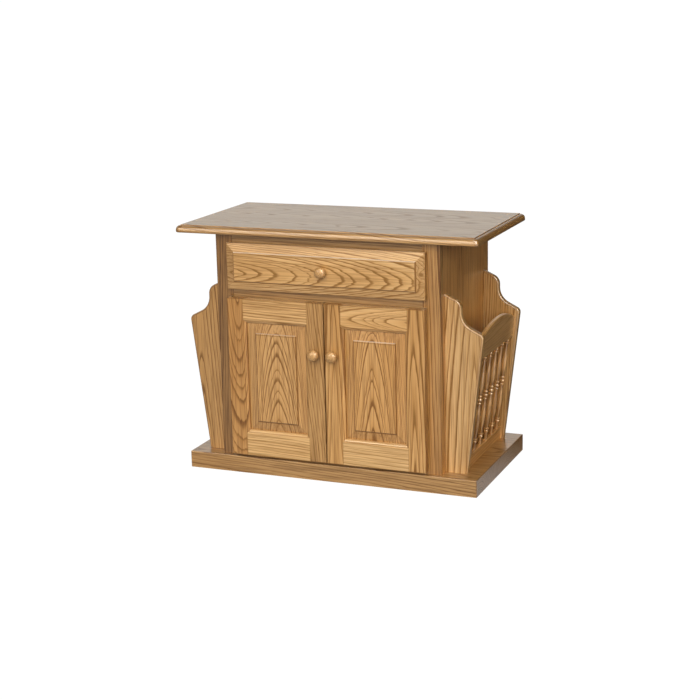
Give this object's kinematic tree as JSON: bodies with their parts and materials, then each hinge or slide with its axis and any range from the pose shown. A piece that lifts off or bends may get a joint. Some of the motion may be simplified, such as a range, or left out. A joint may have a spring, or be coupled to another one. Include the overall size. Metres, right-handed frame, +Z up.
{
  "type": "magazine table",
  "caption": "Oak side table: cabinet with a drawer and raised-panel doors on a plinth, spindled magazine racks on both sides under a wide top.",
  "frame": {"origin": "middle of the underside of the plinth board", "axes": "+X to the right seen from the front, +Y to the back (doors face -Y), +Z up"},
  "size_m": [0.795, 0.4445, 0.638],
  "materials": {
    "oak": "satin lacquer, golden oak",
    "oak_panel": "satin lacquer, golden oak, bold arched grain",
    "oak_top": "satin lacquer, golden oak",
    "drawer_wood": "planed, thin lacquer",
    "plywood": "oak-faced plywood",
    "steel": "bronzed steel",
    "nylon": "moulded, brown",
    "rubber": "soft pad"
  },
  "bodies": {
    "cabinet": {"back_panel": "plywood", "base_board": "oak", "cabinet_floor": "oak", "cabinet_left_side": "oak", "cabinet_right_side": "oak", "door_catch": "nylon", "drawer_left_kicker": "drawer_wood", "drawer_left_runner": "drawer_wood", "drawer_right_kicker": "drawer_wood", "drawer_right_runner": "drawer_wood", "frame_bottom_rail": "oak", "frame_left_stile": "oak", "frame_mid_rail": "oak", "frame_right_stile": "oak", "frame_top_rail": "oak", "front_stretcher": "drawer_wood", "hinge_brackets": "steel", "hinge_pins": "steel", "hinge_screws": "steel", "left_rack_bottom_rail": "oak", "left_rack_front_end": "oak", "left_rack_rear_end": "oak", "left_rack_spindles": "oak", "left_rack_top_rail": "oak", "rear_stretcher": "drawer_wood", "right_rack_bottom_rail": "oak", "right_rack_front_end": "oak", "right_rack_rear_end": "oak", "right_rack_spindles": "oak", "right_rack_top_rail": "oak", "table_top": "oak_top", "top_screws": "steel"},
    "drawer": {"drawer_back": "drawer_wood", "drawer_bottom": "plywood", "drawer_box_front": "drawer_wood", "drawer_bumpers": "rubber", "drawer_front": "oak", "drawer_front_screws": "steel", "drawer_knob": "oak", "drawer_knob_screw": "steel", "drawer_left_side": "drawer_wood", "drawer_right_side": "drawer_wood"},
    "left_door": {"left_door_bottom_rail": "oak", "left_door_bushes": "steel", "left_door_inner_stile": "oak", "left_door_knob": "oak", "left_door_knob_screw": "steel", "left_door_outer_stile": "oak", "left_door_panel": "oak_panel", "left_door_strike": "steel", "left_door_top_rail": "oak"},
    "right_door": {"right_door_bottom_rail": "oak", "right_door_bushes": "steel", "right_door_inner_stile": "oak", "right_door_knob": "oak", "right_door_knob_screw": "steel", "right_door_outer_stile": "oak", "right_door_panel": "oak_panel", "right_door_strike": "steel", "right_door_top_rail": "oak"}
  },
  "joints": [
    {"name": "drawer_slide", "type": "slide", "parent": "cabinet", "child": "drawer", "axis": [0, -1, 0], "range_m": [0, 0.25]},
    {"name": "left_door_swing", "type": "hinge", "parent": "cabinet", "child": "left_door", "pos_m": [-0.256, -0.2055, 0.2555], "axis": [0, 0, -1], "range_deg": [0, 170]},
    {"name": "right_door_swing", "type": "hinge", "parent": "cabinet", "child": "right_door", "pos_m": [0.256, -0.2055, 0.2555], "axis": [0, 0, 1], "range_deg": [0, 170]}
  ]
}
